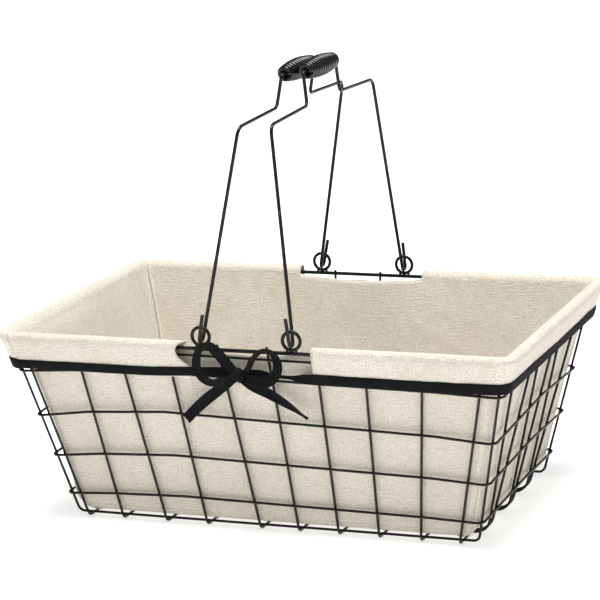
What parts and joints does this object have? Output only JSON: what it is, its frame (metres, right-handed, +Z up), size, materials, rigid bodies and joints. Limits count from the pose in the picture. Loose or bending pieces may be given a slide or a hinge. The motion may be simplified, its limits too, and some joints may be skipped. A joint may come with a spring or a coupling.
{
  "type": "shopping basket",
  "caption": "Tapered rectangular wire shopping basket with a folded-over cloth liner, a ribbon tie with a bow, and two hinged bail handles with coil grips.",
  "frame": {"origin": "on the floor, under the middle of the bounding box", "axes": "+Z up, -Y the front with the bow, +X to the right; the handles' hinge axes lie along Y"},
  "size_m": [0.4466, 0.3075, 0.3845],
  "materials": {
    "cage_wire": "semi-gloss black coating",
    "handle_wire": "semi-gloss black coating, worn at the bends",
    "grip_wire": "semi-gloss black coating",
    "linen": "natural cream linen, matt",
    "ribbon": "black twill tape, matt"
  },
  "bodies": {
    "basket": {"rim_wire": "cage_wire", "hoop_1": "cage_wire", "hoop_2": "cage_wire", "hoop_3": "cage_wire", "hoop_4": "cage_wire", "hoop_5": "cage_wire", "cross_wire_1": "cage_wire", "cross_wire_2": "cage_wire", "cross_wire_3": "cage_wire", "cross_wire_4": "cage_wire", "cross_wire_5": "cage_wire", "cross_wire_6": "cage_wire", "cross_wire_7": "cage_wire", "cross_wire_8": "cage_wire", "cross_wire_9": "cage_wire", "cross_wire_10": "cage_wire", "long_wire_1": "cage_wire", "long_wire_2": "cage_wire", "long_wire_3": "cage_wire", "long_wire_4": "cage_wire", "long_wire_5": "cage_wire", "long_wire_6": "cage_wire", "edge_wire_front": "cage_wire", "edge_wire_back": "cage_wire", "ring_eye_front_left": "cage_wire", "ring_eye_front_right": "cage_wire", "ring_eye_back_left": "cage_wire", "ring_eye_back_right": "cage_wire", "liner_base": "linen", "liner_front": "linen", "liner_back": "linen", "liner_left": "linen", "liner_right": "linen", "cuff_left": "linen", "cuff_right": "linen", "ribbon_band": "ribbon", "bow_knot": "ribbon", "bow_loop_left": "ribbon", "bow_loop_right": "ribbon", "bow_tail_left": "ribbon", "bow_tail_right": "ribbon"},
    "handle_left": {"bail_left": "handle_wire"},
    "handle_right": {"bail_right": "handle_wire"},
    "grip_roll_left": {"grip_left": "grip_wire"},
    "grip_roll_right": {"grip_right": "grip_wire"}
  },
  "joints": [
    {"name": "handle_left_fold", "type": "hinge", "parent": "basket", "child": "handle_left", "pos_m": [-0.0391, 0.00275, 0.1707], "axis": [0, -1, 0], "range_deg": [0, 96]},
    {"name": "handle_right_fold", "type": "hinge", "parent": "basket", "child": "handle_right", "pos_m": [0.0391, 0.00275, 0.1707], "axis": [0, 1, 0], "range_deg": [0, 89.5]},
    {"name": "grip_left_spin", "type": "hinge", "parent": "handle_left", "child": "grip_roll_left", "pos_m": [-0.00056, 0.00275, 0.37276], "axis": [0, 1, 0], "continuous": true},
    {"name": "grip_right_spin", "type": "hinge", "parent": "handle_right", "child": "grip_roll_right", "pos_m": [0.01831, 0.00275, 0.37535], "axis": [0, 1, 0], "continuous": true}
  ]
}
